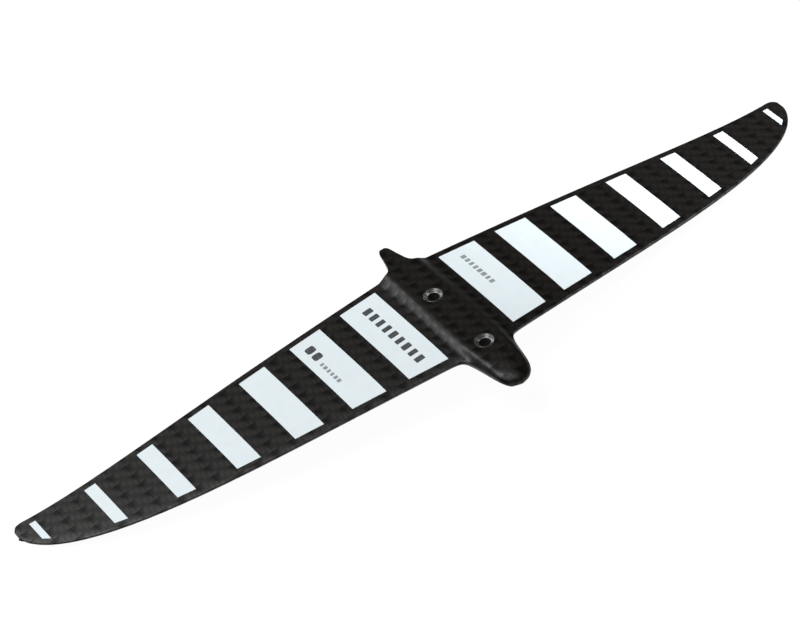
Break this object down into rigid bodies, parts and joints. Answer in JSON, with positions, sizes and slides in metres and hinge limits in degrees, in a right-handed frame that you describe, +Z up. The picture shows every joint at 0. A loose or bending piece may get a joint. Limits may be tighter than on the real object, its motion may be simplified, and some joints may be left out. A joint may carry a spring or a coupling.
{
  "type": "hydrofoil tail wing",
  "caption": "Anhedral carbon tail wing of a hydrofoil, striped on its upper skin, with a central pod that seats on a fuselage and holds countersunk bolt ferrules.",
  "frame": {"origin": "middle of the flat seat under the pod, halfway between the two bolt axes", "axes": "+X along the span, +Y aft towards the trailing edge, +Z up out of the striped side"},
  "size_m": [0.4017, 0.1066, 0.0255],
  "materials": {
    "carbon_skin": "satin clear coat over woven carbon",
    "spar_laminate": "unidirectional carbon, as cured",
    "block_laminate": "glass and epoxy laminate, sawn",
    "ferrule_steel": "turned stainless steel",
    "core_foam": "closed-cell foam",
    "edge_resin": "filled epoxy",
    "stripe_film": "satin film"
  },
  "bodies": {
    "root": {"upper_skin": "carbon_skin", "lower_skin": "carbon_skin", "main_spar": "spar_laminate", "centre_block_front": "block_laminate", "centre_block_rear": "block_laminate", "ferrule_front": "ferrule_steel", "ferrule_rear": "ferrule_steel", "foam_core_front_left": "core_foam", "foam_core_front_right": "core_foam", "foam_core_rear_left": "core_foam", "foam_core_rear_right": "core_foam", "edge_filler_left": "edge_resin", "edge_filler_right": "edge_resin", "stripe_left_1": "stripe_film", "stripe_left_2": "stripe_film", "stripe_left_3": "stripe_film", "stripe_left_4": "stripe_film", "stripe_left_5": "stripe_film", "stripe_left_6": "stripe_film", "stripe_left_7": "stripe_film", "stripe_right_1": "stripe_film", "stripe_right_2": "stripe_film", "stripe_right_3": "stripe_film", "stripe_right_4": "stripe_film", "stripe_right_5": "stripe_film", "stripe_right_6": "stripe_film", "stripe_right_7": "stripe_film"}
  },
  "joints": []
}
